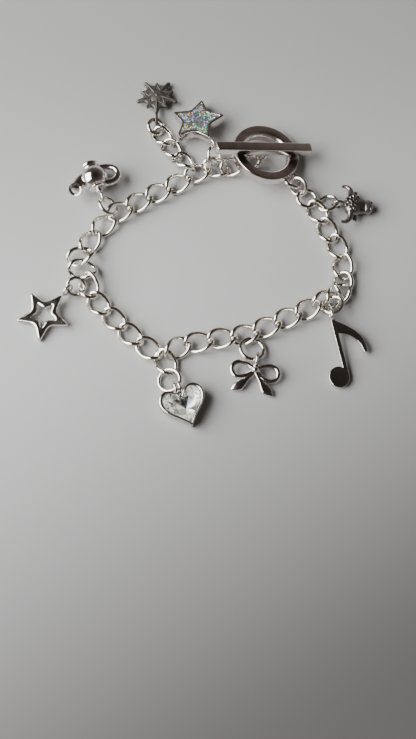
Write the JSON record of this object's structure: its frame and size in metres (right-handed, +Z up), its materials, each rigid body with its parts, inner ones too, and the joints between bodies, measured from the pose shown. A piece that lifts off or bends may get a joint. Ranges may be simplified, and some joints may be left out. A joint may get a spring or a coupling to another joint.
{
  "type": "charm bracelet",
  "caption": "Curb chain bracelet with a toggle clasp, a short extender and charms on jump rings, lying closed on a flat surface.",
  "frame": {"origin": "middle of the underside of the whole bracelet as it lies", "axes": "+Z up from the surface, +Y towards the clasp's side of the loop, +X towards the bull's head"},
  "size_m": [0.0886, 0.096, 0.0112],
  "materials": {
    "chain_silver": "bright plated wire with a faint warm cast",
    "ring_silver": "bright plated round wire",
    "clasp_silver": "polished casting, mirror bright",
    "charm_silver": "polished casting with darkened hollows",
    "antique_silver": "antiqued casting, dark in its hollows and worn bright on its high spots",
    "crystal": "clear faceted crystal",
    "glitter": "clear resin with fine coloured glitter"
  },
  "bodies": {
    "root": {"link_01": "chain_silver", "link_02": "chain_silver", "link_03": "chain_silver", "link_04": "chain_silver", "link_05": "chain_silver", "link_06": "chain_silver", "link_07": "chain_silver", "link_08": "chain_silver", "link_09": "chain_silver", "link_10": "chain_silver", "link_11": "chain_silver", "link_12": "chain_silver", "link_13": "chain_silver", "link_14": "chain_silver", "link_15": "chain_silver", "link_16": "chain_silver", "link_17": "chain_silver", "link_18": "chain_silver", "link_19": "chain_silver", "link_20": "chain_silver", "link_21": "chain_silver", "link_22": "chain_silver", "link_23": "chain_silver", "link_24": "chain_silver", "link_25": "chain_silver", "link_26": "chain_silver", "link_27": "chain_silver", "link_28": "chain_silver", "link_29": "chain_silver", "link_30": "chain_silver", "link_31": "chain_silver", "link_32": "chain_silver", "extender_1": "chain_silver", "extender_2": "chain_silver", "extender_3": "chain_silver", "ring_heart": "ring_silver", "ring_bow": "ring_silver", "ring_note": "ring_silver", "ring_bull": "ring_silver", "ring_teapot": "ring_silver", "ring_open_star": "ring_silver", "ring_glitter_star": "ring_silver", "ring_snowflake": "ring_silver", "loop_link": "ring_silver", "round_ring": "ring_silver", "toggle_ring": "clasp_silver", "toggle_bar": "clasp_silver", "heart_bezel": "charm_silver", "heart_crystal": "crystal", "bow": "charm_silver", "note": "charm_silver", "bull_head": "antique_silver", "teapot": "charm_silver", "open_star": "charm_silver", "glitter_star_tray": "charm_silver", "glitter_star_inlay": "glitter", "snowflake": "antique_silver"}
  },
  "joints": []
}
